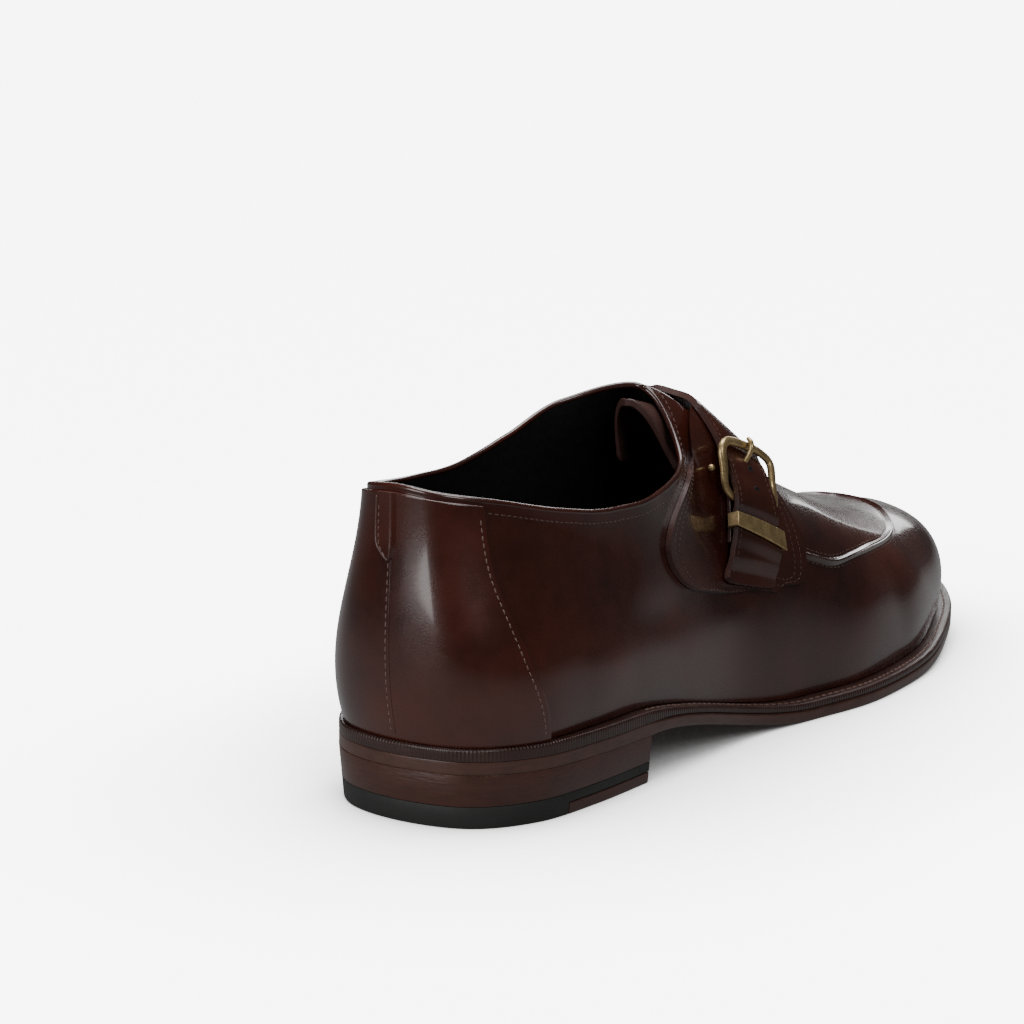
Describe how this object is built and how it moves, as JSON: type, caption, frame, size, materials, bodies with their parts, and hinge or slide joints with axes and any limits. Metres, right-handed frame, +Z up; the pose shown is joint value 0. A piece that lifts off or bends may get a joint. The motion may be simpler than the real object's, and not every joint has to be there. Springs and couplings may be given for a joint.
{
  "type": "monk strap shoe",
  "caption": "Polished leather monk strap shoe for the right foot, one strap over the instep buckled on both sides, raised apron seam, welted sole and stacked heel.",
  "frame": {"origin": "under the middle of the shoe's bounding box, on the floor", "axes": "+Z up, +Y from the heel to the toe, +X to the outer side of the foot"},
  "size_m": [0.1012, 0.3014, 0.1049],
  "materials": {
    "upper_leather": "polished",
    "sole_leather": "burnished",
    "stack_leather": "burnished",
    "lining_leather": "matte",
    "rubber": "matte",
    "brass": "antique, satin"
  },
  "bodies": {
    "root": {"apron_seam": "upper_leather", "back_tab": "upper_leather", "buckle_lateral": "brass", "buckle_medial": "brass", "chape_lateral": "upper_leather", "chape_medial": "upper_leather", "counter": "upper_leather", "heel_rand": "sole_leather", "heel_stack": "stack_leather", "insole": "lining_leather", "keeper_lateral": "brass", "keeper_medial": "brass", "outsole": "sole_leather", "prong_lateral": "brass", "prong_medial": "brass", "saddle_lateral": "upper_leather", "saddle_medial": "upper_leather", "strap": "upper_leather", "tongue": "upper_leather", "top_piece": "rubber", "top_piece_corner": "stack_leather", "upper": "upper_leather", "welt": "sole_leather"}
  },
  "joints": []
}
